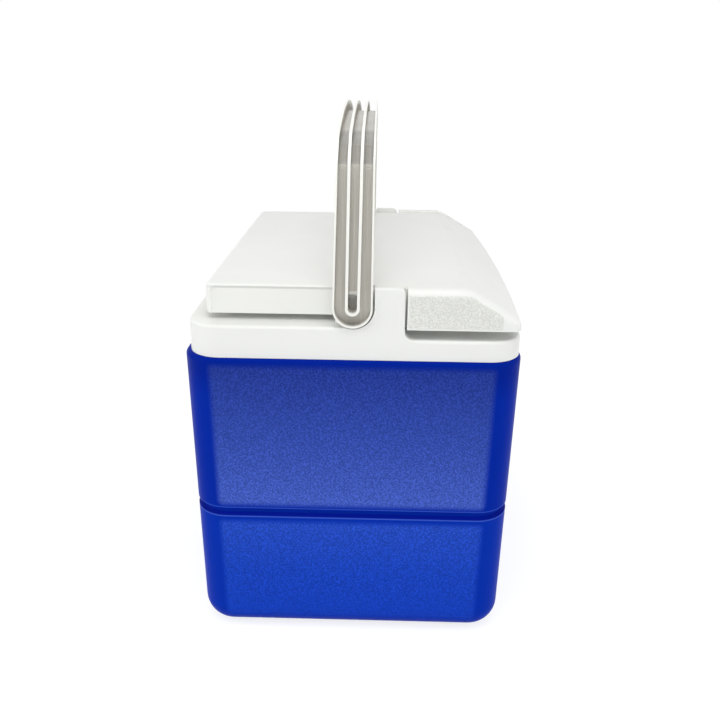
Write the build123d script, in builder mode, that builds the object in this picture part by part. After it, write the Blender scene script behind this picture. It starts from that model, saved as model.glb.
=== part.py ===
from build123d import *
import math
import os

# Vaccine carrier: an insulated box with a rear-hinged lid, a ribbed bail handle and
# coolant packs inside.  Millimetres.  +Z is up, X runs along the box, the lid's hinge is
# at the rear (+Y) and its bowed front edge, with a finger ear at each end, is at -Y.
# The origin is the centre of the footprint, on the surface that the box stands on.

os.makedirs("parts", exist_ok=True)

# ---------------------------------------------------------------- box
box_length = 350.0
box_width = 264.0
shell_height = 252.0
shell_draft = 0.9
shell_corner_r = 30.0
shell_foot_r = 22.0
shell_wall = 3.0
shoulder_r = 4.0
rim_flange_width = 10.0
groove_height = 118.0
groove_width = 7.0
groove_depth = 2.4
groove_top_share = 0.75
groove_foot_share = 0.1
groove_reach = 3.0
foot_ring_width = 34.0
foot_recess = 1.4
foam_gap = 0.3

# ---------------------------------------------------------------- inside of the box
wall_total = 39.2
cavity_corner_r = 24.0
cavity_floor = 46.0
cavity_foot_r = 6.0
liner_wall = 2.0
liner_draft = 1.0
liner_flange_width = 10.0
liner_flange_thickness = 2.4

# ---------------------------------------------------------------- collar
collar_inset_end = 3.0
collar_inset_front = 2.0
collar_inset_rear = 4.5
collar_corner_r = 26.0
collar_wall = 2.8
collar_rise = 25.6
front_ledge_drop = 9.3
ledge_edge_r = 2.2
curb_rise = 3.0
curb_wall = 3.0
curb_edge_r = 0.8
deck_wall = 2.6
tower_front = -39.3
tower_rise = 30.9
tower_corner_r = 5.0
tower_foot_r = 6.5
tower_foot_reach = 1.0
tower_foot_sink = 2.0
tower_crest = 5.5
tower_edge_r = 1.2
cheek_inset_end = 15.5
cheek_wall = 3.2
cheek_rear = 13.5

# ---------------------------------------------------------------- handle
arm_ledge_gap = 0.4
arm_cheek_gap = 1.2
handle_lean = 0.8
arm_web = 2.0
arm_end_r = 15.0
arm_top_width = 27.4
arm_straight = 107.0
shoulder_run = 18.0
shoulder_rise = 16.5
crown_rise = 138.4
fin_depth = 9.0
outer_fin = 1.4
inner_fin = 2.1
middle_channel = 6.8
bend_r = 6.0
seat_clearance = 1.6
boss_r = 7.0
boss_length = 3.4
boss_fit = 0.05
boss_pocket_r = 3.1
boss_pocket_depth = 3.2
slot_height = 9.0
slot_depth = 2.2

# ---------------------------------------------------------------- lid
skirt_ledge_gap = 5.0
skirt_height = 23.4
lid_cheek_gap = 3.0
lid_inset_rear = 18.5
rear_skirt_rise = 3.4
lid_wall = 2.8
lid_rear_corner_r = 8.0
lid_edge_r = 4.0
skirt_lip = 1.9
skirt_step = 1.3
skirt_panel_margin = 5.0
skirt_panel_r = 4.0
ear_inset_end = 3.5
ear_tower_gap = 1.7
ear_ledge_gap = 8.1
ear_rise = 1.8
ear_crest = 8.5
ear_edge_r = 6.5
nose_inset = 0.3
nose_bow = 5.0
nose_slope_run = 40.0
nose_slope_drop = 22.0
nose_top_r = 25.0
nose_foot_r = 8.0

liner_sheet = 2.4
gasket_thickness = 1.8
plug_depth = 18.6
plug_gap = 2.5
plug_taper = 6.0
plug_edge_r = 6.0
sheet_rear_gap = 0.9
lid_gap = 0.2
gasket_side_gap = 0.4

# ---------------------------------------------------------------- hinge
hinge_inset = 12.0
hinge_spacing = 170.0
knuckle_r = 4.8
knuckle_lid_gap = 0.9
knuckle_length = 34.0
lug_length = 6.0
lug_gap = 0.4
hinge_pin_r = 2.4
hinge_fit = 0.05
notch_gap = 1.0
cut_reach = 1.0

# ---------------------------------------------------------------- coolant packs
pack_height = 163.0
pack_width = 94.0
pack_thickness = 33.0
pack_edge_r = 7.0
pack_face_r = 6.0
pack_gap = 0.4
pack_pair_gap = 3.0
pack_notch_width = 30.0
pack_notch_height = 15.0
pack_panel_depth = 1.6
pack_panel_margin = 12.0
pack_panel_count = 3
neck_r = 8.0
neck_height = 8.0
cap_r = 10.5
cap_height = 11.0
cap_fit = 0.1
cap_lift = 1.0
cap_grip_count = 18
cap_grip_r = 0.8

# ---------------------------------------------------------------- worked out
half_length = box_length / 2
half_width = box_width / 2
draft_slope = math.tan(math.radians(shell_draft))
collar_half_length = half_length - collar_inset_end
collar_front = -half_width + collar_inset_front
collar_rear = half_width - collar_inset_rear
collar_depth = collar_rear - collar_front
collar_middle = (collar_rear + collar_front) / 2
cavity_half_length = half_length - wall_total
cavity_half_width = half_width - wall_total
cheek_inner = half_length - cheek_inset_end
cheek_outer = cheek_inner + cheek_wall
cheek_middle = (cheek_inner + cheek_outer) / 2
arm_thickness = fin_depth + arm_web
handle_outer = cheek_outer + arm_cheek_gap + arm_thickness
hinge_span = knuckle_length + 2 * (lug_gap + lug_length)
pocket_r = arm_end_r + seat_clearance
lid_half_length = cheek_inner - lid_cheek_gap
lid_rear = half_width - lid_inset_rear
hinge_y = lid_rear - hinge_inset
ear_half_length = half_length - ear_inset_end
ear_start = tower_front - ear_tower_gap
nose_middle = -half_width + nose_inset
plug_half_length = cavity_half_length - plug_gap
plug_half_width = cavity_half_width - plug_gap
liner_top = shell_height + liner_flange_thickness
ledge_height = shell_height + collar_rise
front_ledge_height = ledge_height - front_ledge_drop
curb_height = ledge_height + curb_rise
tower_top = ledge_height + tower_rise
pivot_height = ledge_height + arm_ledge_gap + arm_end_r
lid_skirt_bottom = ledge_height + skirt_ledge_gap
lid_top = lid_skirt_bottom + skirt_height
lid_under = lid_top - lid_wall
ear_bottom = front_ledge_height + ear_ledge_gap
ear_top = lid_top + ear_rise
liner_seat = curb_height + lid_gap + gasket_thickness
plug_bottom = liner_seat - plug_depth
hinge_z = lid_under - knuckle_lid_gap - knuckle_r


def shell_half(z, inset=0.0):
    """Half length and half width of the drafted box at height z, moved in by inset."""
    shrink = (shell_height - z) * draft_slope + inset
    return half_length - shrink, half_width - shrink


def drafted_block(bottom, top, inset, foot_r):
    """The box's outer form between two heights, moved in by inset."""
    low_x, low_y = shell_half(bottom, inset)
    high_x, high_y = shell_half(top, inset)
    corner = shell_corner_r - inset
    with BuildPart(mode=Mode.PRIVATE) as block:
        with BuildSketch(Plane.XY.offset(bottom)):
            RectangleRounded(2 * low_x, 2 * low_y, corner - (high_x - low_x))
        with BuildSketch(Plane.XY.offset(top)):
            RectangleRounded(2 * high_x, 2 * high_y, corner)
        loft(ruled=True)
        fillet(block.faces().sort_by(Axis.Z)[0].edges(), radius=foot_r)
    return block.part


def groove_bead(inset):
    """The finger groove's section, swept round the box and moved in by inset.

    The sketch's y axis points down, so the groove's steep side, its top, comes first.
    """
    path_x, path_y = shell_half(groove_height)
    depth = groove_depth + inset
    half_mouth = groove_width / 2 + inset
    with BuildSketch(Plane.XY.offset(groove_height)) as outline:
        RectangleRounded(2 * path_x, 2 * path_y, shell_corner_r)
    path = outline.sketch.wire()
    along = path % 0
    outward = along.cross(Vector(0, 0, 1))
    with BuildPart(mode=Mode.PRIVATE) as bead:
        with BuildSketch(Plane(origin=path @ 0, x_dir=outward, z_dir=along)):
            with BuildLine():
                Polyline(
                    (groove_reach, -half_mouth),
                    (0.0, -half_mouth),
                    (-depth, -half_mouth * groove_top_share),
                    (-depth, half_mouth * groove_foot_share),
                    (0.0, half_mouth),
                    (groove_reach, half_mouth),
                    close=True,
                )
            make_face()
        sweep(path=path)
    return bead.part


def ring_outline(half_x, half_y, corner_r, bottom, top, edge_r=0.0):
    """A plain upright block with round corners, between two heights."""
    with BuildPart(mode=Mode.PRIVATE) as block:
        with BuildSketch(Plane.XY.offset(bottom)):
            RectangleRounded(2 * half_x, 2 * half_y, corner_r)
        extrude(amount=top - bottom)
        if edge_r:
            fillet(block.faces().sort_by(Axis.Z)[-1].edges(), radius=edge_r)
    return block.part


def cavity_block(floor, top, outset, foot_r):
    """The inside of the liner, drafted towards the floor, moved out by outset."""
    shrink = (liner_top - floor) * math.tan(math.radians(liner_draft))
    high_x = cavity_half_length + outset
    high_y = cavity_half_width + outset
    corner = cavity_corner_r + outset
    with BuildPart(mode=Mode.PRIVATE) as block:
        with BuildSketch(Plane.XY.offset(floor)):
            RectangleRounded(2 * (high_x - shrink), 2 * (high_y - shrink), corner - shrink)
        with BuildSketch(Plane.XY.offset(liner_top)):
            RectangleRounded(2 * high_x, 2 * high_y, corner)
        loft(ruled=True)
        fillet(block.faces().sort_by(Axis.Z)[0].edges(), radius=foot_r)
        if top > liner_top:
            with BuildSketch(Plane.XY.offset(liner_top)):
                RectangleRounded(2 * high_x, 2 * high_y, corner)
            extrude(amount=top - liner_top)
    return block.part


def hinge_rod(side, radius, length):
    """A rod on the hinge's axis, centred on one of the two knuckles."""
    with BuildPart(mode=Mode.PRIVATE) as rod:
        with BuildSketch(Plane.YZ.offset(side * hinge_spacing / 2 - length / 2)):
            with Locations((hinge_y, hinge_z)):
                Circle(radius)
        extrude(amount=length)
    return rod.part


def keep(part, name):
    """Label a finished piece and write it as a STEP file."""
    part.label = name
    export_step(part, f"parts/{name}.step")


# ---------------------------------------------------------------- outer shell
flange_half_length = half_length - rim_flange_width
flange_half_width = half_width - rim_flange_width
with BuildPart() as outer_shell:
    add(drafted_block(0.0, shell_height, 0.0, shell_foot_r))
    fillet(outer_shell.faces().sort_by(Axis.Z)[-1].edges(), radius=shoulder_r)
    add(groove_bead(0.0), mode=Mode.SUBTRACT)
    inside = drafted_block(
        shell_wall, shell_height - shell_wall, shell_wall, shell_foot_r - shell_wall
    )
    add(inside - groove_bead(shell_wall), mode=Mode.SUBTRACT)
    with BuildSketch(Plane.XY.offset(shell_height)):
        RectangleRounded(
            2 * flange_half_length, 2 * flange_half_width, shell_corner_r - rim_flange_width
        )
    extrude(amount=-2 * shell_wall, mode=Mode.SUBTRACT)
    with BuildSketch(Plane.XY):
        base_x, base_y = shell_half(0.0, foot_ring_width)
        RectangleRounded(2 * base_x, 2 * base_y, shell_corner_r / 2)
    extrude(amount=foot_recess, mode=Mode.SUBTRACT)
keep(outer_shell.part, "outer_shell")

# ---------------------------------------------------------------- inner liner
liner_flange_x = cavity_half_length + liner_flange_width
liner_flange_y = cavity_half_width + liner_flange_width
with BuildPart() as inner_liner:
    add(
        cavity_block(
            cavity_floor - liner_wall, liner_top, liner_wall, cavity_foot_r + liner_wall
        )
    )
    add(
        ring_outline(
            liner_flange_x,
            liner_flange_y,
            cavity_corner_r + liner_flange_width,
            liner_top - liner_flange_thickness,
            liner_top,
        )
    )
    add(cavity_block(cavity_floor, liner_top + cut_reach, 0.0, cavity_foot_r), mode=Mode.SUBTRACT)
keep(inner_liner.part, "inner_liner")

# ---------------------------------------------------------------- body foam
foam_inset = shell_wall + foam_gap
foam_top = shell_height - shell_wall - foam_gap
collar_foam_top = front_ledge_height - deck_wall - foam_gap
with BuildPart() as body_foam:
    foam_block = drafted_block(foam_inset, foam_top, foam_inset, shell_foot_r - foam_inset)
    add(foam_block - groove_bead(foam_inset))
    add(
        ring_outline(
            flange_half_length - foam_gap,
            flange_half_width - foam_gap,
            shell_corner_r - rim_flange_width,
            foam_top,
            collar_foam_top,
        )
    )
    add(
        ring_outline(
            liner_flange_x + foam_gap,
            liner_flange_y + foam_gap,
            cavity_corner_r + liner_flange_width,
            liner_top - liner_flange_thickness - foam_gap,
            collar_foam_top,
        ),
        mode=Mode.SUBTRACT,
    )
    foam_outset = liner_wall + foam_gap
    add(
        cavity_block(
            cavity_floor - foam_outset, liner_top, foam_outset, cavity_foot_r + foam_outset
        ),
        mode=Mode.SUBTRACT,
    )
keep(body_foam.part, "body_foam")

# ---------------------------------------------------------------- collar
with BuildPart() as collar:
    for deck_height, start, end in (
        (front_ledge_height, collar_front, collar_rear),
        (ledge_height, tower_front, collar_rear),
    ):
        with BuildSketch(Plane.XY.offset(shell_height)):
            with Locations((0, collar_middle)):
                RectangleRounded(2 * collar_half_length, collar_depth, collar_corner_r)
            with Locations((0, (start + end) / 2)):
                Rectangle(2 * box_length, end - start, mode=Mode.INTERSECT)
        extrude(amount=deck_height - shell_height)
        rim = collar.faces().filter_by(Axis.Z).sort_by(Axis.Z)[-1]
        outer_edges = rim.edges().filter_by(
            lambda edge: abs((edge @ 0.5).Y - tower_front) > 0.1
        )
        fillet(outer_edges, radius=ledge_edge_r)
    curb_x = cavity_half_length + curb_wall
    curb_y = cavity_half_width + curb_wall
    curb_corner_r = cavity_corner_r + curb_wall
    add(ring_outline(curb_x, curb_y, curb_corner_r, shell_height, curb_height, curb_edge_r))

    # towers in front of the handle's arms, and the cheeks that the arms turn on
    tower_foot_front = tower_front - tower_foot_r - tower_foot_reach
    tower_foot_bottom = front_ledge_height - tower_foot_sink
    with BuildPart(mode=Mode.PRIVATE) as tower_block:
        with BuildSketch(Plane.YZ.offset(cheek_inner)):
            with BuildLine():
                FilletPolyline(
                    (cheek_rear, ledge_height - ledge_edge_r),
                    (cheek_rear, tower_top),
                    (tower_front, tower_top),
                    (tower_front, front_ledge_height),
                    (tower_foot_front, front_ledge_height),
                    radius=[arm_end_r - seat_clearance, tower_corner_r, tower_foot_r],
                )
                Polyline(
                    (tower_foot_front, front_ledge_height),
                    (tower_foot_front, tower_foot_bottom),
                    (cheek_rear, tower_foot_bottom),
                    (cheek_rear, ledge_height - ledge_edge_r),
                )
            make_face()
        extrude(amount=collar_half_length - cheek_inner)
        outline_edges = tower_block.faces().sort_by(Axis.X)[-1].edges()
        fillet(
            outline_edges.filter_by(
                lambda edge: (edge @ 0.5).Z > front_ledge_height and (edge @ 0.5).Y < 0
            ),
            radius=tower_edge_r,
        )
        with BuildSketch(Plane.YZ.offset(cheek_inner)):
            with Locations((tower_front, tower_top)):
                Rectangle(
                    -tower_front - pocket_r, tower_top - lid_under, align=(Align.MIN, Align.MAX)
                )
        extrude(amount=collar_half_length - cheek_inner - tower_crest, mode=Mode.SUBTRACT)
    tower = tower_block.part
    with BuildPart(mode=Mode.PRIVATE) as pocket:
        with BuildSketch(Plane.YZ.offset(cheek_outer)):
            with Locations((0, pivot_height)):
                Circle(pocket_r)
            with Locations((0, pivot_height)):
                Rectangle(2 * pocket_r, box_width, align=(Align.CENTER, Align.MIN))
            with Locations((0, ledge_height)):
                Rectangle(box_width, box_width, align=(Align.MIN, Align.MIN))
        extrude(amount=box_length)
    tower_solid = tower - pocket.part
    add(tower_solid)
    add(pocket.part, mode=Mode.SUBTRACT)
    mirror(tower_solid, about=Plane.YZ)
    mirror(pocket.part, about=Plane.YZ, mode=Mode.SUBTRACT)

    # hinge knuckles on the rear ledge, each on a stem
    for side in (-1, 1):
        with BuildSketch(Plane.YZ.offset(side * hinge_spacing / 2 - knuckle_length / 2)):
            with Locations((hinge_y, hinge_z)):
                Circle(knuckle_r)
            with Locations((hinge_y, ledge_height - deck_wall)):
                Rectangle(
                    2 * knuckle_r,
                    hinge_z - ledge_height + deck_wall,
                    align=(Align.CENTER, Align.MIN),
                )
        extrude(amount=knuckle_length)

    # the moulding is hollow underneath: an outer wall, a deck and the curb's wall
    for deck_height, start in (
        (front_ledge_height, collar_front),
        (ledge_height, tower_front + deck_wall),
    ):
        with BuildSketch(Plane.XY.offset(shell_height)):
            with Locations((0, collar_middle)):
                RectangleRounded(
                    2 * (collar_half_length - collar_wall),
                    collar_depth - 2 * collar_wall,
                    collar_corner_r - collar_wall,
                )
            with Locations((0, start)):
                Rectangle(
                    2 * box_length, box_width, align=(Align.CENTER, Align.MIN), mode=Mode.INTERSECT
                )
            RectangleRounded(2 * curb_x, 2 * curb_y, cavity_corner_r + curb_wall, mode=Mode.SUBTRACT)
        extrude(amount=deck_height - deck_wall - shell_height, mode=Mode.SUBTRACT)
    add(
        ring_outline(
            liner_flange_x + foam_gap,
            liner_flange_y + foam_gap,
            cavity_corner_r + liner_flange_width,
            shell_height,
            liner_top + lid_gap,
        ),
        mode=Mode.SUBTRACT,
    )
    add(
        ring_outline(
            cavity_half_length, cavity_half_width, cavity_corner_r, shell_height, curb_height
        ),
        mode=Mode.SUBTRACT,
    )

    # holes for the handle's bosses and the hinge pins
    for side in (-1, 1):
        with BuildSketch(Plane.YZ.offset(side * cheek_middle - cheek_wall)):
            with Locations((0, pivot_height)):
                Circle(boss_r + boss_fit)
        extrude(amount=2 * cheek_wall, mode=Mode.SUBTRACT)
        add(hinge_rod(side, hinge_pin_r + hinge_fit, hinge_span), mode=Mode.SUBTRACT)
keep(collar.part, "collar")


# ---------------------------------------------------------------- handle
lean = math.radians(handle_lean)
bail_up = Vector(0, -math.sin(lean), math.cos(lean))
along_x = Vector(1, 0, 0)
pivot = (0, 0, pivot_height)
bail_side = Plane(origin=pivot, x_dir=along_x, z_dir=along_x.cross(bail_up))
bail_end = Plane(origin=pivot, x_dir=bail_up.cross(along_x), z_dir=along_x)
shoulder_x = handle_outer - shoulder_run
shoulder_z = arm_straight + shoulder_rise


def bail_section(inset, foot):
    """The bail seen from its long side, between its outer line moved in by inset and air."""
    crown = crown_rise - inset
    turn_low = math.atan2(shoulder_rise, shoulder_run)
    crown_drop = crown_rise - shoulder_z
    turn_high = 2 * math.atan2(crown_drop, shoulder_x)
    low_x = handle_outer - inset
    low_z = arm_straight - inset * math.tan((math.pi / 2 - turn_low) / 2)
    half_turn = (turn_low + turn_high) / 2
    reach = inset / math.cos((turn_low - turn_high) / 2)
    high_x = shoulder_x - reach * math.sin(half_turn)
    high_z = shoulder_z - reach * math.cos(half_turn)
    with BuildSketch(Plane.XY) as section:
        with BuildLine():
            ThreePointArc((-high_x, high_z), (0, crown), (high_x, high_z))
            Polyline(
                (high_x, high_z), (low_x, low_z), (low_x, foot), (-low_x, foot), (-low_x, low_z),
                (-high_x, high_z),
            )
        make_face()
        bends = section.vertices().filter_by(lambda corner: corner.Y > foot + cut_reach)
        fillet(bends, radius=bend_r)
    return section.sketch


def bail_slab(inset, width):
    """The bail's closed form under its outer line, moved in by inset, as a wide slab."""
    with BuildPart(mode=Mode.PRIVATE) as slab:
        with BuildSketch(bail_side):
            add(bail_section(inset, -2 * arm_end_r - inset))
        extrude(amount=width / 2, both=True)
    return slab.part


def slot_profile(half_width, top, mode=Mode.ADD):
    """An upright slot round the pivot, seen from the end of the box."""
    Circle(half_width, mode=mode)
    Rectangle(2 * half_width, top, align=(Align.CENTER, Align.MIN), mode=mode)


def arm_profile(inset):
    """The arm seen from the end: round at the pivot and slightly narrower at the top."""
    low = arm_end_r - inset
    high = arm_top_width / 2 - inset
    top = crown_rise + arm_end_r
    with BuildSketch(Plane.XY) as profile:
        with BuildLine():
            ThreePointArc((-low, 0), (0, -low), (low, 0))
            Polyline((low, 0), (high, arm_straight), (high, top))
            Polyline((high, top), (-high, top), (-high, arm_straight), (-low, 0))
        make_face()
    return profile.sketch


with BuildPart() as channels:
    with BuildSketch(bail_end.offset(-box_length / 2)):
        add(arm_profile(outer_fin))
        slot_profile(middle_channel / 2 + inner_fin, box_width, mode=Mode.SUBTRACT)
        slot_profile(middle_channel / 2, crown_rise + arm_end_r)
    extrude(amount=box_length)
    add(bail_slab(fin_depth, box_width), mode=Mode.SUBTRACT)

with BuildPart() as handle:
    with BuildSketch(bail_end.offset(-box_length / 2)):
        add(arm_profile(0.0))
    extrude(amount=box_length)
    add(bail_slab(0.0, box_width), mode=Mode.INTERSECT)
    add(bail_slab(arm_thickness, box_width), mode=Mode.SUBTRACT)
    add(channels.part, mode=Mode.SUBTRACT)
    for side in (-1, 1):
        floor_x = side * (handle_outer - fin_depth)
        with BuildSketch(bail_end.offset(floor_x)):
            slot_profile(middle_channel / 2, slot_height)
        extrude(amount=-side * slot_depth, mode=Mode.SUBTRACT)
        with BuildSketch(bail_end.offset(side * (handle_outer - arm_thickness))):
            Circle(boss_r)
        extrude(amount=-side * boss_length)
        with BuildSketch(bail_end.offset(floor_x - side * slot_depth)):
            Circle(boss_pocket_r)
        extrude(amount=-side * boss_pocket_depth, mode=Mode.SUBTRACT)
keep(handle.part, "handle")


# ---------------------------------------------------------------- lid
nose_radius = (ear_half_length**2 + nose_bow**2) / (2 * nose_bow)
nose_turn = math.asin(box_length / nose_radius)
nose_axis = Axis((0, nose_middle + nose_radius, 0), (0, 0, 1))


def nose_block(top, inset, bottom):
    """The lid's front under its sloping nose, turned about a far axis so that it bows."""
    start = Plane(
        origin=nose_axis.position,
        x_dir=(-math.sin(nose_turn), -math.cos(nose_turn), 0),
        z_dir=(-math.cos(nose_turn), math.sin(nose_turn), 0),
    )
    nose_inner = nose_radius - box_width
    foot = lid_top - nose_slope_drop
    with BuildPart(mode=Mode.PRIVATE) as nose:
        with BuildSketch(start) as section:
            with BuildLine():
                Polyline(
                    (nose_inner, bottom - inset),
                    (nose_radius, bottom - inset),
                    (nose_radius, foot),
                    (nose_radius - nose_slope_run, top),
                    (nose_inner, top),
                    close=True,
                )
            make_face()
            fillet(section.vertices().sort_by_distance((nose_radius, foot))[0], nose_foot_r)
            fillet(
                section.vertices().sort_by_distance((nose_radius - nose_slope_run, top))[0],
                nose_top_r,
            )
            if inset:
                offset(amount=-inset, kind=Kind.INTERSECTION, mode=Mode.REPLACE)
        revolve(axis=nose_axis, revolution_arc=2 * math.degrees(nose_turn))
    return nose.part


def lid_block(inset, bottom):
    """The lid's outer form down to bottom, or the space inside it, moved in by inset."""
    half_x = ear_half_length - inset
    start = ear_start - inset
    levels = [(lid_top, 0.0, half_x)]
    if not inset:
        crest_x = half_x - ear_crest
        levels = [(lid_top, 0.0, crest_x), (ear_top, crest_x, half_x)]
    with BuildPart(mode=Mode.PRIVATE) as front:
        for top, inner_x, outer_x in levels:
            with BuildPart(mode=Mode.PRIVATE) as reach:
                with BuildSketch(Plane.XY.offset(bottom)):
                    for side in (-1, 1):
                        with Locations((side * (outer_x + inner_x) / 2, start)):
                            Rectangle(outer_x - inner_x, box_width, align=(Align.CENTER, Align.MAX))
                extrude(amount=top - bottom)
            add(nose_block(top, inset, bottom) & reach.part)
        for end in (front.faces().sort_by(Axis.X)[0], front.faces().sort_by(Axis.X)[-1]):
            rim = end.edges().filter_by(
                lambda edge: (edge @ 0.5).Y < start - cut_reach / 2
                and (edge @ 0.5).Z > bottom + cut_reach / 2
            )
            fillet(rim, radius=ear_edge_r - inset)
    rear_bottom = lid_skirt_bottom + bottom - ear_bottom
    with BuildPart(mode=Mode.PRIVATE) as rear:
        with BuildSketch(Plane.XY.offset(rear_bottom)):
            RectangleRounded(
                2 * (lid_half_length - inset), 2 * (lid_rear - inset), lid_rear_corner_r - inset
            )
        extrude(amount=lid_top - inset - rear_bottom)
        fillet(rear.faces().sort_by(Axis.Z)[-1].edges(), radius=lid_edge_r - inset)
        split(bisect_by=Plane.XZ.offset(-2 * ear_start), keep=Keep.BOTTOM)
    return front.part + rear.part


cavity_bottom = 2 * ear_bottom - lid_skirt_bottom - cut_reach
with BuildPart() as lid_shell:
    add(lid_block(0.0, ear_bottom))
    add(lid_block(lid_wall, cavity_bottom), mode=Mode.SUBTRACT)
    rear_middle = lid_half_length - lid_rear_corner_r
    with BuildSketch(Plane.XY.offset(ear_bottom)):
        with Locations((0, hinge_y)):
            Rectangle(2 * rear_middle, half_width, align=(Align.CENTER, Align.MIN))
    extrude(amount=lid_skirt_bottom + rear_skirt_rise - ear_bottom, mode=Mode.SUBTRACT)

    # a shallow panel in each end skirt, under a thin lip
    panel_rear = lid_rear - skirt_panel_margin
    panel_top = lid_top - skirt_lip
    with BuildPart(mode=Mode.PRIVATE) as skirt_panel:
        with BuildSketch(Plane.YZ.offset(lid_half_length - skirt_step)) as panel_side:
            with BuildLine():
                Polyline(
                    (tower_front, cavity_bottom),
                    (panel_rear, cavity_bottom),
                    (panel_rear, panel_top),
                    (tower_front, panel_top),
                    close=True,
                )
            make_face()
            fillet(
                panel_side.vertices().sort_by_distance((panel_rear, panel_top))[0], skirt_panel_r
            )
        extrude(amount=skirt_step + cut_reach)
    add(skirt_panel.part, mode=Mode.SUBTRACT)
    mirror(skirt_panel.part, about=Plane.YZ, mode=Mode.SUBTRACT)
    for side in (-1, 1):
        knuckle_x = side * hinge_spacing / 2
        with BuildSketch(Plane.XY.offset(ear_bottom)):
            with Locations((knuckle_x, lid_rear)):
                Rectangle(knuckle_length + 2 * notch_gap, 2 * lid_wall + lid_edge_r)
        extrude(amount=lid_under - ear_bottom, mode=Mode.SUBTRACT)
        for lug_side in (-1, 1):
            lug_x = knuckle_x + lug_side * (knuckle_length + lug_length + 2 * lug_gap) / 2
            with BuildSketch(Plane.YZ.offset(lug_x - lug_length / 2)):
                with Locations((hinge_y, hinge_z)):
                    Circle(knuckle_r)
                    Rectangle(
                        2 * knuckle_r,
                        lid_top - hinge_z - lid_wall / 2,
                        align=(Align.CENTER, Align.MIN),
                    )
            extrude(amount=lug_length)
        add(hinge_rod(side, hinge_pin_r + hinge_fit, 2 * hinge_span), mode=Mode.SUBTRACT)
keep(lid_shell.part, "lid_shell")

# the liner's sheet closes the lid's underside and carries the plug that fills the mouth
plug_drop = liner_seat - plug_bottom
plug_shrink = plug_drop * math.tan(math.radians(plug_taper))
plug_corner = cavity_corner_r - plug_gap


def plug_block(inset, top):
    """The lid's plug, moved in by inset, from its floor up to the given height."""
    with BuildPart(mode=Mode.PRIVATE) as block:
        with BuildSketch(Plane.XY.offset(plug_bottom + inset)):
            RectangleRounded(
                2 * (plug_half_length - plug_shrink - inset),
                2 * (plug_half_width - plug_shrink - inset),
                plug_corner - plug_shrink - inset,
            )
        with BuildSketch(Plane.XY.offset(liner_seat)):
            RectangleRounded(
                2 * (plug_half_length - inset), 2 * (plug_half_width - inset), plug_corner - inset
            )
        loft(ruled=True)
        fillet(block.faces().sort_by(Axis.Z)[0].edges(), radius=plug_edge_r - inset)
        with BuildSketch(Plane.XY.offset(liner_seat)):
            RectangleRounded(
                2 * (plug_half_length - inset), 2 * (plug_half_width - inset), plug_corner - inset
            )
        extrude(amount=top - liner_seat)
    return block.part


curb_rear = cavity_half_width + curb_wall
with BuildPart() as lid_liner:
    add(lid_block(lid_wall + lid_gap, cavity_bottom))
    with BuildSketch(Plane.XY.offset(liner_seat)):
        with Locations((0, curb_rear - sheet_rear_gap)):
            Rectangle(2 * box_length, 2 * box_width, align=(Align.CENTER, Align.MAX))
    extrude(amount=liner_sheet, mode=Mode.INTERSECT)
    add(plug_block(0.0, liner_seat + liner_sheet))
    add(plug_block(liner_sheet, liner_seat + 2 * liner_sheet), mode=Mode.SUBTRACT)
keep(lid_liner.part, "lid_liner")

lid_foam_bottom = liner_seat + liner_sheet + lid_gap
with BuildPart() as lid_foam:
    add(lid_block(lid_wall + lid_gap, cavity_bottom))
    with BuildSketch(Plane.XY.offset(lid_foam_bottom)):
        with Locations((0, curb_rear - sheet_rear_gap - lid_gap)):
            Rectangle(2 * box_length, 2 * box_width, align=(Align.CENTER, Align.MAX))
    extrude(amount=lid_top - lid_foam_bottom, mode=Mode.INTERSECT)
    add(plug_block(liner_sheet + lid_gap, lid_foam_bottom))
keep(lid_foam.part, "lid_foam")

with BuildPart() as lid_gasket:
    with BuildSketch(Plane.XY.offset(curb_height + lid_gap)):
        for outset, mode in (
            (curb_wall - gasket_side_gap, Mode.ADD),
            (gasket_side_gap, Mode.SUBTRACT),
        ):
            RectangleRounded(
                2 * (cavity_half_length + outset),
                2 * (cavity_half_width + outset),
                cavity_corner_r + outset,
                mode=mode,
            )
    extrude(amount=liner_seat - curb_height - lid_gap)
    fillet(
        lid_gasket.faces().sort_by(Axis.Z)[0].edges(),
        radius=(liner_seat - curb_height - lid_gap) / 3,
    )
keep(lid_gasket.part, "lid_gasket")

# ---------------------------------------------------------------- hinge pins
for side, name in ((-1, "hinge_pin_left"), (1, "hinge_pin_right")):
    with BuildPart() as hinge_pin:
        add(hinge_rod(side, hinge_pin_r, hinge_span))
        fillet(
            hinge_pin.faces().filter_by(Axis.X).edges(), radius=hinge_pin_r / 3
        )
    keep(hinge_pin.part, name)

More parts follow.
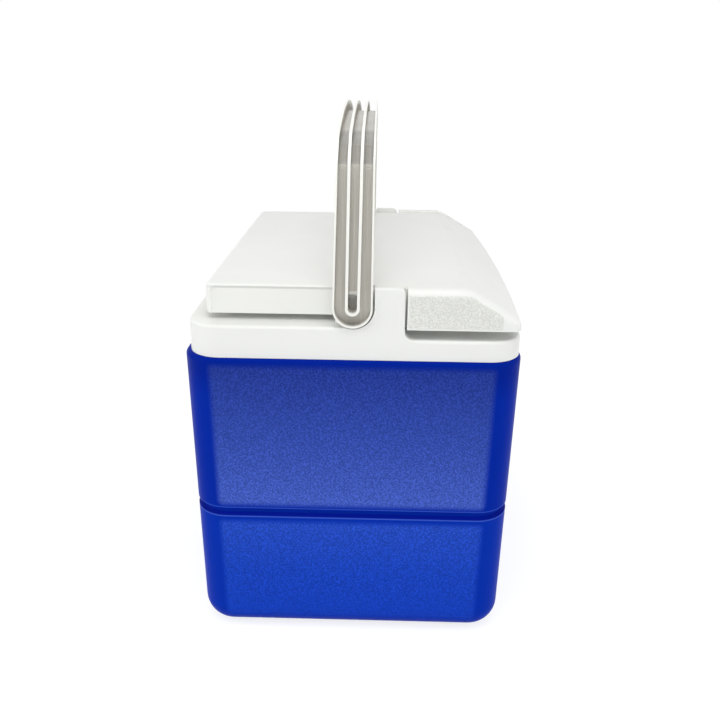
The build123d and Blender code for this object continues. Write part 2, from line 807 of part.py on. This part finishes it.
# ---------------------------------------------------------------- coolant packs
neck_x = pack_width / 2 - pack_notch_width / 2
neck_z = pack_height - pack_notch_height
panel_pitch = (neck_z - pack_panel_margin) / pack_panel_count
with BuildPart() as pack:
    with BuildSketch(Plane.XZ.offset(-pack_thickness / 2)):
        with BuildLine():
            Polyline(
                (-pack_width / 2, 0),
                (pack_width / 2, 0),
                (pack_width / 2, neck_z),
                (pack_width / 2 - pack_notch_width, neck_z),
                (pack_width / 2 - pack_notch_width, pack_height),
                (-pack_width / 2, pack_height),
                close=True,
            )
        make_face()
    extrude(amount=pack_thickness)
    fillet(pack.edges().filter_by(Axis.Y), radius=pack_edge_r)
    fillet(pack.faces().filter_by(Axis.Y).edges(), radius=pack_face_r)
    for side in (-1, 1):
        with BuildSketch(Plane.XZ.offset(side * pack_thickness / 2)):
            with GridLocations(0, panel_pitch, 1, pack_panel_count):
                with Locations((0, neck_z / 2)):
                    RectangleRounded(
                        pack_width - 2 * pack_panel_margin,
                        panel_pitch - pack_panel_margin,
                        pack_edge_r,
                    )
        extrude(amount=-side * pack_panel_depth, mode=Mode.SUBTRACT)
    with BuildSketch(Plane.XY.offset(neck_z)):
        with Locations((neck_x, 0)):
            Circle(neck_r)
    extrude(amount=neck_height)

with BuildPart() as cap:
    with BuildSketch(Plane.XY.offset(neck_z + cap_lift)):
        with Locations((neck_x, 0)):
            Circle(cap_r)
            with PolarLocations(cap_r, cap_grip_count):
                Circle(cap_grip_r, mode=Mode.SUBTRACT)
    extrude(amount=cap_height)
    with BuildSketch(Plane.XY.offset(neck_z + cap_lift)):
        with Locations((neck_x, 0)):
            Circle(neck_r + cap_fit)
    extrude(amount=neck_height - cap_lift + cap_fit, mode=Mode.SUBTRACT)

floor_shrink = (liner_top - cavity_floor) * math.tan(math.radians(liner_draft))
row_y = cavity_half_width - floor_shrink - pack_gap - pack_thickness / 2
end_x = cavity_half_length - floor_shrink - pack_gap - pack_thickness / 2
pair_x = (pack_width + pack_pair_gap) / 2
pack_base = cavity_floor + pack_gap
pack_places = {
    "front_left": (-pair_x, -row_y, 0),
    "front_right": (pair_x, -row_y, 0),
    "rear_left": (-pair_x, row_y, 180),
    "rear_right": (pair_x, row_y, 180),
    "end_left": (-end_x, 0, 90),
    "end_right": (end_x, 0, -90),
}
for name, (place_x, place_y, turn) in pack_places.items():
    place = Location((place_x, place_y, pack_base), (0, 0, turn))
    with BuildPart() as coolant_pack:
        with Locations(place):
            add(pack.part)
    keep(coolant_pack.part, f"coolant_pack_{name}")
    with BuildPart() as pack_cap:
        with Locations(place):
            add(cap.part)
    keep(pack_cap.part, f"pack_cap_{name}")
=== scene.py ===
import math

import bpy
from mathutils import Matrix, Vector


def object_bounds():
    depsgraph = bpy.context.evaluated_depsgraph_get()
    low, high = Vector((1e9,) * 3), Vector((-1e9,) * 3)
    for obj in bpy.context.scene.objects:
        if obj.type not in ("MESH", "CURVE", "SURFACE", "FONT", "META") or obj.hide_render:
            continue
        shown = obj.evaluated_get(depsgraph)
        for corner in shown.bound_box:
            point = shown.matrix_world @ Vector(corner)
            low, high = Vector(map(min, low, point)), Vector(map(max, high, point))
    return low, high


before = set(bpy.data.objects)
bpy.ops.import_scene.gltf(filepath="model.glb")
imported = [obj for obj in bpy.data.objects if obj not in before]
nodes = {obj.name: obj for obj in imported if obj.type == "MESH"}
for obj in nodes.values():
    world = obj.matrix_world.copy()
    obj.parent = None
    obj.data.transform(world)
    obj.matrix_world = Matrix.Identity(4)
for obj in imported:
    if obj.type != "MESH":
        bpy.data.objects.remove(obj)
cad_box = [list(corner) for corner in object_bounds()]
scene = bpy.context.scene
scene.view_settings.view_transform = "Standard"

# ---------------------------------------------------------------- camera
IMAGE_SIZE = 720.0
FOCAL_PIXELS = 795.3
SENSOR = 36.0
CAMERA_PLACE = (-0.7368, -0.0176, 0.4645)
YAW, PITCH, ROLL = (math.radians(angle) for angle in (1.17, 20.6, 0.65))

ahead = Vector((math.cos(YAW) * math.cos(PITCH), math.sin(YAW) * math.cos(PITCH), -math.sin(PITCH)))
level = Vector((math.sin(YAW), -math.cos(YAW), 0.0))
raised = level.cross(ahead)
right = level * math.cos(ROLL) + raised * math.sin(ROLL)
up = raised * math.cos(ROLL) - level * math.sin(ROLL)
camera_data = bpy.data.cameras.new("camera")
camera_data.sensor_fit = "HORIZONTAL"
camera_data.sensor_width = SENSOR
camera_data.lens = SENSOR * FOCAL_PIXELS / IMAGE_SIZE
camera = bpy.data.objects.new("camera", camera_data)
camera.matrix_world = Matrix.Translation(CAMERA_PLACE) @ Matrix((right, up, -ahead)).transposed().to_4x4()
scene.collection.objects.link(camera)
scene.camera = camera

# ---------------------------------------------------------------- material helpers
GRAIN_SCALE = 760.0
GRAIN_TURN = (0.62, 0.41, 0.27)
PEBBLE_RANGE = (0.36, 0.64)
NOISE_RANGE = (0.3, 0.7)
SATIN_RELIEF = {"distance": 0.0006, "strength": 0.08}


class Shader:
    """A material's node tree with a Principled shader, and short ways to add nodes."""

    def __init__(self, name):
        self.material = bpy.data.materials.new(name)
        self.material.use_nodes = True
        self.tree = self.material.node_tree
        self.bsdf = self.tree.nodes["Principled BSDF"]

    def feed(self, socket, value):
        if isinstance(value, bpy.types.NodeSocket):
            self.tree.links.new(value, socket)
        else:
            socket.default_value = value

    def node(self, kind, settings=(), **inputs):
        made = self.tree.nodes.new(kind)
        for key, value in dict(settings).items():
            setattr(made, key, value)
        for key, value in inputs.items():
            self.feed(made.inputs[key.replace("_", " ")], value)
        return made

    def math(self, operation, *values):
        made = self.node("ShaderNodeMath", {"operation": operation})
        for socket, value in zip(made.inputs, values):
            self.feed(socket, value)
        return made.outputs[0]

    def all_of(self, *shares):
        """The product of several shares, each 0 to 1."""
        made = shares[0]
        for share in shares[1:]:
            made = self.math("MULTIPLY", made, share)
        return made

    def ramp(self, value, low, high, start=0.0, end=1.0, smooth=True):
        made = self.node(
            "ShaderNodeMapRange", {"interpolation_type": "SMOOTHSTEP" if smooth else "LINEAR"},
            Value=value, From_Min=low, From_Max=high, To_Min=start, To_Max=end,
        )
        return made.outputs["Result"]

    def fade(self, value, low, high):
        """1 below low, 0 above high."""
        return self.ramp(value, low, high, 1.0, 0.0)

    def shade(self, share, factor):
        """1 where share is 0, factor where it is 1."""
        return self.ramp(share, 0.0, 1.0, 1.0, factor)

    def blend(self, share, first, second):
        made = self.node("ShaderNodeMix", {"data_type": "RGBA"})
        for index, value in ((0, share), (6, first), (7, second)):
            self.feed(made.inputs[index], value)
        return made.outputs[2]

    def tones(self, value, low, high, *stops):
        """A colour that follows value from low to high, through evenly spaced stops."""
        made = self.node("ShaderNodeValToRGB", Fac=self.ramp(value, low, high, smooth=False))
        points = made.color_ramp.elements
        while len(points) < len(stops):
            points.new(1.0)
        for index, stop in enumerate(stops):
            points[index].position = index / (len(stops) - 1)
            points[index].color = stop
        return made.outputs["Color"]

    def scaled(self, tint, factor):
        made = self.node("ShaderNodeVectorMath", {"operation": "SCALE"}, Vector=tint, Scale=factor)
        return made.outputs[0]

    def place(self):
        return self.node("ShaderNodeTexCoord").outputs["Object"]

    def axes(self):
        """The object's own x, y and z."""
        spot = self.node("ShaderNodeSeparateXYZ", Vector=self.place())
        return [spot.outputs[axis] for axis in "XYZ"]

    def facing(self, axis):
        """How far the surface faces along an axis of the object, 0 to 1, either way."""
        normal = self.node("ShaderNodeTexCoord").outputs["Normal"]
        return self.math("ABSOLUTE", self.node("ShaderNodeSeparateXYZ", Vector=normal).outputs[axis])

    def noise(self, scale, detail=2.0, stretch=(1.0, 1.0, 1.0), turn=(0.0, 0.0, 0.0)):
        place = self.node("ShaderNodeMapping", Vector=self.place(), Scale=stretch, Rotation=turn).outputs[0]
        return self.node("ShaderNodeTexNoise", Vector=place, Scale=scale, Detail=detail).outputs["Fac"]

    def pebbles(self):
        """Moulded grain, turned so that no wall lies along the pattern's own grid."""
        return self.noise(GRAIN_SCALE, 1.0, turn=GRAIN_TURN)

    def cells(self, scale):
        made = self.node("ShaderNodeTexVoronoi", {"feature": "SMOOTH_F1"}, Vector=self.place(), Scale=scale)
        return made.outputs["Distance"]

    def bump(self, height, distance, strength=1.0):
        made = self.node("ShaderNodeBump", Height=height, Distance=distance, Strength=strength)
        self.feed(self.bsdf.inputs["Normal"], made.outputs[0])

    def finish(self, **inputs):
        for key, value in inputs.items():
            self.feed(self.bsdf.inputs[key.replace("_", " ")], value)
        return self.material


def colour(red, green, blue):
    """A colour given as seen on a screen, 0 to 255, as linear light."""
    made = []
    for value in (red, green, blue):
        value /= 255.0
        made.append(value / 12.92 if value <= 0.04045 else ((value + 0.055) / 1.055) ** 2.4)
    return (*made, 1.0)


def dress(material, *names):
    for name in names:
        piece = nodes[name]
        piece.data.materials.clear()
        piece.data.materials.append(material)


# ---------------------------------------------------------------- blue shell
# Pebbled panels on the ends and long sides, above and below the groove; smooth everywhere else.
RIM_HEIGHT = 0.252
SHELL_DRAFT = math.tan(math.radians(0.9))
END_FACING = (0.70, 0.74)
LONG_FACING = (0.90, 0.94)
END_MARGIN = 0.0205
LONG_MARGIN = 0.03
PANEL_CORNER = 0.005
PANEL_EDGE = (-0.0055, 0.0015)
LOWER_PANEL = (0.012, 0.1105)
UPPER_PANEL = (0.123, 0.248)
GROOVE_MIDDLE = 0.1175
GROOVE_REACH = 0.005
GROOVE_SPAN = (GROOVE_MIDDLE - GROOVE_REACH, GROOVE_MIDDLE + GROOVE_REACH)
RIM_SHADE_SPAN = (0.215, 0.245)
PEBBLE_RISE = 0.0002
FLECK_RANGE = (0.38, 0.66)
FLECK_DEPTH = (-0.2, 0.28)
FLECK_FOOT = (0.01, 0.05)
FLECK_AT_FOOT = 0.4
SMOOTH_ROUGHNESS, PEBBLED_ROUGHNESS = 0.36, 0.6
BLUE_SPECULAR = 0.02
BLUE_SPECULAR_TINT = (0.15, 0.35, 1.0, 1.0)
BLUE_SMOOTH = colour(5, 42, 162)
BLUE_SMOOTH_SHADED_TOP = colour(5, 35, 146)
BLUE_SMOOTH_LIT_LOW = colour(8, 50, 174)
BLUE_GROOVE_SHADE = colour(5, 24, 140)
BLUE_LIP_HIGHLIGHT = colour(62, 96, 208)
BLUE_UPPER_SHEEN_TONES = (colour(72, 98, 197), colour(56, 80, 174), colour(38, 59, 148))
BLUE_LOWER_LIT_TONES = (colour(26, 68, 194), colour(31, 72, 194), colour(42, 80, 197))
GROOVE_SHADE_HIGHLIGHT_TONES = (BLUE_SMOOTH, BLUE_LIP_HIGHLIGHT, *(BLUE_GROOVE_SHADE,) * 3, *(BLUE_SMOOTH,) * 4, BLUE_LIP_HIGHLIGHT, BLUE_SMOOTH)


def rounded_panel(shader, across, half_span, height, low, high):
    """1 inside a panel with rounded corners, 0 outside it, with a soft edge."""
    over = shader.math("SUBTRACT", shader.math("ABSOLUTE", across), half_span)
    middle = shader.math("ABSOLUTE", shader.math("SUBTRACT", height, (low + high) / 2))
    beyond = shader.math("SUBTRACT", middle, (high - low) / 2)
    squares = []
    for distance in (over, beyond):
        side = shader.math("MAXIMUM", shader.math("ADD", distance, PANEL_CORNER), 0.0)
        squares.append(shader.math("MULTIPLY", side, side))
    reach = shader.math("SUBTRACT", shader.math("SQRT", shader.math("ADD", *squares)), PANEL_CORNER)
    return shader.fade(reach, *PANEL_EDGE)


def blue_shell():
    made = Shader("blue_shell")
    x, y, z = made.axes()
    end_share = made.ramp(made.facing("X"), *END_FACING)
    long_share = made.ramp(made.facing("Y"), *LONG_FACING)
    shrink = made.math("MULTIPLY", made.math("SUBTRACT", RIM_HEIGHT, z), SHELL_DRAFT)
    half_length, half_width = cad_box[1][:2]
    panels = None
    for low, high in (LOWER_PANEL, UPPER_PANEL):
        for share, across, half in (
            (end_share, y, half_width - END_MARGIN), (long_share, x, half_length - LONG_MARGIN)
        ):
            span = made.math("SUBTRACT", half, shrink)
            panel = made.math("MULTIPLY", share, rounded_panel(made, across, span, z, low, high))
            panels = panel if panels is None else made.math("MAXIMUM", panels, panel)
    grain = made.pebbles()
    made.bump(made.math("MULTIPLY", made.ramp(grain, *PEBBLE_RANGE), panels), PEBBLE_RISE)

    above_groove = made.ramp(z, LOWER_PANEL[1], UPPER_PANEL[0])
    # Painted shade: the smooth blue darkens towards the rim, under the collar's overhang.
    smooth = made.blend(made.ramp(z, *RIM_SHADE_SPAN), BLUE_SMOOTH, BLUE_SMOOTH_SHADED_TOP)
    # Painted light: the smooth blue below the groove is lighter, standing in for light from below.
    smooth = made.blend(above_groove, BLUE_SMOOTH_LIT_LOW, smooth)
    # Painted shade inside the groove, and painted highlight lines along its two lips.
    off_groove = made.math("ABSOLUTE", made.math("SUBTRACT", z, GROOVE_MIDDLE))
    grooved = made.math("LESS_THAN", off_groove, GROOVE_REACH)
    smooth = made.blend(grooved, smooth, made.tones(z, *GROOVE_SPAN, *GROOVE_SHADE_HIGHLIGHT_TONES))

    # Painted light on the pebbled panels: the upper panel carries a painted whitish sheen, palest above the
    # groove and darkening towards the rim; the lower panel is a deeper, brighter blue standing in for light
    # from below.
    lower_lit = made.tones(z, *LOWER_PANEL, *BLUE_LOWER_LIT_TONES)
    upper_sheen = made.tones(z, *UPPER_PANEL, *BLUE_UPPER_SHEEN_TONES)
    pebbled = made.blend(above_groove, lower_lit, upper_sheen)
    # Painted sparkle: the grain lightens the pebbled blue on its highs and darkens it in its pits, less
    # towards the foot.
    fleck_sparkle = made.math(
        "MULTIPLY", made.ramp(grain, *FLECK_RANGE, *FLECK_DEPTH),
        made.ramp(z, *FLECK_FOOT, FLECK_AT_FOOT, 1.0),
    )
    pebbled = made.scaled(pebbled, made.math("ADD", fleck_sparkle, 1.0))
    return made.finish(
        Base_Color=made.blend(panels, smooth, pebbled),
        Roughness=made.ramp(panels, 0.0, 1.0, SMOOTH_ROUGHNESS, PEBBLED_ROUGHNESS),
        IOR=1.5, Specular_IOR_Level=BLUE_SPECULAR, Specular_Tint=BLUE_SPECULAR_TINT,
    )


dress(blue_shell(), "outer_shell")

# ---------------------------------------------------------------- white mouldings
WHITE = colour(239, 240, 236)
WHITE_LIGHT = colour(243, 244, 241)
WHITE_ROUGHNESS = (0.3, 0.38)


def white_moulding(name):
    made = Shader(name)
    surface = made.blend(made.noise(9.0, 3.0), WHITE, WHITE_LIGHT)
    gloss = made.ramp(made.noise(40.0, 3.0), *NOISE_RANGE, *WHITE_ROUGHNESS)
    made.finish(Base_Color=surface, Roughness=gloss, IOR=1.49, Specular_IOR_Level=0.3)
    return made, surface


collar, _ = white_moulding("white_plastic")
collar.bump(collar.noise(90.0, 3.0), **SATIN_RELIEF)
dress(collar.material, "collar")

# The pebbled outer face of each finger ear, and a painted shade line under the lid's top edge.
EAR_REAR, EAR_FRONT = -0.042, -0.1125
EAR_FOOT, EAR_TOP = 0.2778, 0.3032
EAR_BEND = -0.0885
EAR_SLOPE = 0.62
EAR_EDGE = 0.0007
EAR_FACE = 0.165
EAR_FACING = (0.8, 0.95)
EAR_RISE = 0.0003
EAR_BUMP = 0.8
EAR_RANGE = (0.34, 0.66)
EAR_PIT, EAR_PEBBLE = colour(222, 223, 217), colour(238, 239, 234)
CREASE_LOW, CREASE_HIGH = 0.3027, 0.3040
CREASE_FRONT = -0.035
CREASE_FACING = (0.5, 0.7)
CREASE_SHADE = 0.84


def lid_plastic():
    made, surface = white_moulding("lid_plastic")
    x, y, z = made.axes()
    facing_end = made.facing("X")
    fall = made.math("MULTIPLY", made.math("MAXIMUM", made.math("SUBTRACT", EAR_BEND, y), 0.0), EAR_SLOPE)
    ear = made.all_of(
        made.fade(made.math("ADD", z, fall), EAR_TOP - EAR_EDGE, EAR_TOP + EAR_EDGE),
        made.ramp(z, EAR_FOOT - EAR_EDGE, EAR_FOOT + EAR_EDGE),
        made.ramp(y, EAR_FRONT - EAR_EDGE, EAR_FRONT + EAR_EDGE),
        made.fade(y, EAR_REAR - EAR_EDGE, EAR_REAR + EAR_EDGE),
        made.ramp(made.math("ABSOLUTE", x), EAR_FACE - EAR_EDGE, EAR_FACE),
        made.ramp(facing_end, *EAR_FACING),
    )
    grain = made.pebbles()
    made.bump(made.math("MULTIPLY", made.ramp(grain, *PEBBLE_RANGE), ear), EAR_RISE, EAR_BUMP)
    # Painted shade: a thin darker line on the lid's ends just under the top edge.
    crease_shadow = made.all_of(
        made.ramp(z, CREASE_LOW - EAR_EDGE, CREASE_LOW),
        made.fade(z, CREASE_HIGH, CREASE_HIGH + EAR_EDGE),
        made.ramp(y, CREASE_FRONT, CREASE_FRONT + EAR_EDGE),
        made.ramp(facing_end, *CREASE_FACING),
    )
    surface = made.scaled(surface, made.shade(crease_shadow, CREASE_SHADE))
    pebbled = made.blend(made.ramp(grain, *EAR_RANGE), EAR_PIT, EAR_PEBBLE)
    return made.finish(Base_Color=made.blend(ear, surface, pebbled))


dress(lid_plastic(), "lid_shell")

# ---------------------------------------------------------------- handle
# The outer line of the bail, as in the CAD: upright arm, sloping shoulder and arched crown.
ARM_FACE = 0.1749
BEND_HEIGHT = 0.400
FACET_NORMAL = (0.6757, 0.7372)
CROWN_RADIUS = 0.8335
CROWN_CENTRE = -0.4021
FIN_EDGE = (-0.0045, -0.0008)
FIN_LIGHT = colour(246, 246, 240)
CHANNEL_SHADE_TONES = (colour(196, 193, 185), colour(210, 207, 199))
STREAK_STRETCH = (0.02, 1.0, 0.02)
HANDLE_ROUGHNESS = (0.3, 0.4)
SHOULDER_FOOT, SHOULDER_TOP = (0.3958, 0.397), (0.4135, 0.4165)
SHOULDER_SHADE = 0.68
POCKET_FLOOR, POCKET_TOP = (-0.0105, -0.0097), (0.298, 0.3005)
POCKET_SHADE = 0.5
ARM_FOOT = (0.279, 0.291)
ARM_FOOT_SHADE = 0.74
BRINK_FOOT, BRINK_TOP = (0.3018, 0.3023), (0.3040, 0.3046)
BRINK_SIDE = (0.0028, 0.0034)
BRINK_HIGHLIGHT = colour(238, 237, 231)


def past_outer_line(shader, x, z):
    """How far a point lies outside the bail's outer line; negative inside it."""
    past_arm = shader.math("SUBTRACT", x, ARM_FACE)
    above_bend = shader.math("SUBTRACT", z, BEND_HEIGHT)
    past_facet = shader.math(
        "ADD", shader.math("MULTIPLY", past_arm, FACET_NORMAL[0]),
        shader.math("MULTIPLY", above_bend, FACET_NORMAL[1]),
    )
    climb = shader.math("SUBTRACT", z, CROWN_CENTRE)
    far = shader.math("ADD", shader.math("MULTIPLY", x, x), shader.math("MULTIPLY", climb, climb))
    past_crown = shader.math("SUBTRACT", shader.math("SQRT", far), CROWN_RADIUS)
    return shader.math("MAXIMUM", shader.math("MAXIMUM", past_arm, past_facet), past_crown)


def handle_plastic():
    made = Shader("handle_plastic")
    x, y, z = made.axes()
    past = past_outer_line(made, made.math("ABSOLUTE", x), z)
    streaks = made.noise(900.0, 2.0, STREAK_STRETCH)
    # Painted shade: the recessed channel floors between the fins are greyed, with random streaks.
    shaded_channel = made.blend(made.ramp(streaks, *NOISE_RANGE), *CHANNEL_SHADE_TONES)
    # Painted shade on the channels: darker on the shoulder's first facet, in the pivot pocket and towards
    # the arms' feet.
    shoulder = made.all_of(made.ramp(z, *SHOULDER_FOOT), made.fade(z, *SHOULDER_TOP))
    pocket = made.all_of(made.fade(past, *POCKET_FLOOR), made.fade(z, *POCKET_TOP))
    for factor in (
        made.shade(shoulder, SHOULDER_SHADE), made.shade(pocket, POCKET_SHADE),
        made.ramp(z, *ARM_FOOT, ARM_FOOT_SHADE, 1.0),
    ):
        shaded_channel = made.scaled(shaded_channel, factor)
    # Painted highlight: a thin light line along the brink above the pivot pocket.
    brink_highlight = made.all_of(
        made.ramp(z, *BRINK_FOOT), made.fade(z, *BRINK_TOP),
        made.fade(made.math("ABSOLUTE", y), *BRINK_SIDE),
    )
    shaded_channel = made.blend(brink_highlight, shaded_channel, BRINK_HIGHLIGHT)
    made.bump(made.noise(120.0, 3.0), **SATIN_RELIEF)
    return made.finish(
        Base_Color=made.blend(made.ramp(past, *FIN_EDGE), shaded_channel, FIN_LIGHT),
        Roughness=made.ramp(made.noise(40.0, 3.0), *NOISE_RANGE, *HANDLE_ROUGHNESS), IOR=1.49,
    )


dress(handle_plastic(), "handle")


# ---------------------------------------------------------------- inside, gasket and pins
def mottled(name, tones, patches, relief, distance, strength, **inputs):
    """Two close tones in patches (a noise's scale and detail), over a fine relief."""
    made = Shader(name)
    made.bump(relief(made), distance, strength)
    return made.finish(Base_Color=made.blend(made.noise(*patches), *tones), **inputs)


LINER_TONES = (colour(232, 233, 231), colour(240, 241, 239))
FOAM_TONES = (colour(234, 229, 210), colour(242, 238, 222))
RUBBER_TONES = (colour(148, 150, 152), colour(164, 166, 168))
STEEL_TONES = (colour(150, 150, 152), colour(170, 170, 172))
PACK_TONES = (colour(196, 216, 230), colour(210, 226, 237))
CAP_TONES = (colour(22, 70, 158), colour(30, 82, 172))
BRUSHED = (0.05, 1.0, 1.0)
PACK_SCATTER = (0.004, 0.005, 0.006)

liner = mottled(
    "liner_plastic", LINER_TONES, patches=(8.0, 3.0), relief=lambda made: made.noise(60.0, 3.0),
    distance=0.0008, strength=0.1, Roughness=0.3, IOR=1.49,
)
foam = mottled(
    "foam", FOAM_TONES, patches=(30.0, 4.0), relief=lambda made: made.cells(900.0),
    distance=0.0008, strength=0.4, Roughness=0.85,
)
rubber = mottled(
    "gasket", RUBBER_TONES, patches=(30.0,), relief=lambda made: made.noise(900.0, 3.0),
    distance=0.0002, strength=0.3, Roughness=0.6,
)
steel = mottled(
    "pin_steel", STEEL_TONES, patches=(40.0,), relief=lambda made: made.noise(1500.0, 3.0, BRUSHED),
    distance=0.0001, strength=0.2, Roughness=0.32, Metallic=1.0,
)
pack = mottled(
    "pack_plastic", PACK_TONES, patches=(14.0, 3.0), relief=lambda made: made.noise(120.0, 3.0),
    distance=0.0008, strength=0.15, Roughness=0.38, IOR=1.5,
    Subsurface_Weight=0.1, Subsurface_Radius=PACK_SCATTER,
)
cap = mottled(
    "cap_plastic", CAP_TONES, patches=(40.0, 3.0), relief=lambda made: made.noise(200.0, 3.0),
    distance=0.0004, strength=0.15, Roughness=0.38,
)

dress(liner, "inner_liner", "lid_liner")
dress(foam, "body_foam", "lid_foam")
dress(rubber, "lid_gasket")
dress(steel, "hinge_pin_left", "hinge_pin_right")
for name in nodes:
    if name.startswith("coolant_pack_"):
        dress(pack, name)
    if name.startswith("pack_cap_"):
        dress(cap, name)

# ---------------------------------------------------------------- floor, world and lamps
FLOOR_SIZE = 60.0
FLOOR_COLOUR = colour(240, 240, 240)
SKY_STRENGTH = 0.58
FLOOR_SHADOW_SHARE = 0.4
PAPER_WHITE = (1.0, 1.0, 1.0, 1.0)


def shown_white(tree):
    """1 for the rays that see the white background: camera, glossy and transmission rays."""
    rays = tree.nodes.new("ShaderNodeLightPath")
    shown = rays.outputs["Is Camera Ray"]
    for kind in ("Is Glossy Ray", "Is Transmission Ray"):
        made = tree.nodes.new("ShaderNodeMath")
        made.operation = "MAXIMUM"
        tree.links.new(shown, made.inputs[0])
        tree.links.new(rays.outputs[kind], made.inputs[1])
        shown = made.outputs[0]
    return shown


def mix_into(tree, output, first, second):
    """Gives the output the second shader for rays that see the background, the first for all others."""
    choice = tree.nodes.new("ShaderNodeMixShader")
    for index, socket in enumerate((shown_white(tree), first.outputs[0], second.outputs[0])):
        tree.links.new(socket, choice.inputs[index])
    tree.links.new(choice.outputs[0], tree.nodes[output].inputs["Surface"])


def floor_paper():
    """White paper that still takes the object's shadow: part lit by the sky, part glowing."""
    made = Shader("floor")
    made.finish(Base_Color=FLOOR_COLOUR, Roughness=0.9, Specular_IOR_Level=0.0)
    paper = made.node("ShaderNodeBsdfDiffuse", Color=(FLOOR_SHADOW_SHARE,) * 3 + (1.0,))
    glow = made.node("ShaderNodeEmission", Strength=1.0 - SKY_STRENGTH * FLOOR_SHADOW_SHARE)
    seen = made.node("ShaderNodeAddShader")
    made.feed(seen.inputs[0], paper.outputs[0])
    made.feed(seen.inputs[1], glow.outputs[0])
    mix_into(made.tree, "Material Output", made.bsdf, seen)
    return made.material


half = FLOOR_SIZE / 2.0
floor_mesh = bpy.data.meshes.new("floor")
floor_mesh.from_pydata(
    [(-half, -half, 0.0), (half, -half, 0.0), (half, half, 0.0), (-half, half, 0.0)], [], [(0, 1, 2, 3)]
)
floor = bpy.data.objects.new("floor", floor_mesh)
scene.collection.objects.link(floor)
floor.data.materials.append(floor_paper())

world = bpy.data.worlds.new("studio")
world.use_nodes = True
scene.world = world
air = world.node_tree
sky = air.nodes["Background"]
backdrop = air.nodes.new("ShaderNodeBackground")
for background, strength in ((sky, SKY_STRENGTH), (backdrop, 1.0)):
    background.inputs["Color"].default_value = PAPER_WHITE
    background.inputs["Strength"].default_value = strength
mix_into(air, "World Output", sky, backdrop)

# name, place, aim, size and power of each lamp
LAMPS = (
    ("key", (-0.45, 0.0, 0.95), (-0.08, 0.0, 0.3), 0.5, 1.8),
    ("front", (-1.5, 0.1, 0.45), (-0.17, 0.0, 0.2), 0.7, 2.3),
    ("left", (-0.5, 1.4, 0.7), (0.0, 0.0, 0.2), 0.8, 5.0),
    ("right", (-0.5, -1.4, 0.6), (0.0, 0.0, 0.2), 0.8, 3.5),
    ("back", (1.5, 0.2, 1.0), (0.0, 0.0, 0.2), 1.0, 0.4),
)
for name, place, aim, size, power in LAMPS:
    data = bpy.data.lights.new(name, "AREA")
    data.shape = "DISK"
    data.size = size
    data.energy = power
    lamp = bpy.data.objects.new(name, data)
    lamp.location = place
    lamp.rotation_euler = (Vector(aim) - Vector(place)).to_track_quat("-Z", "Y").to_euler()
    scene.collection.objects.link(lamp)
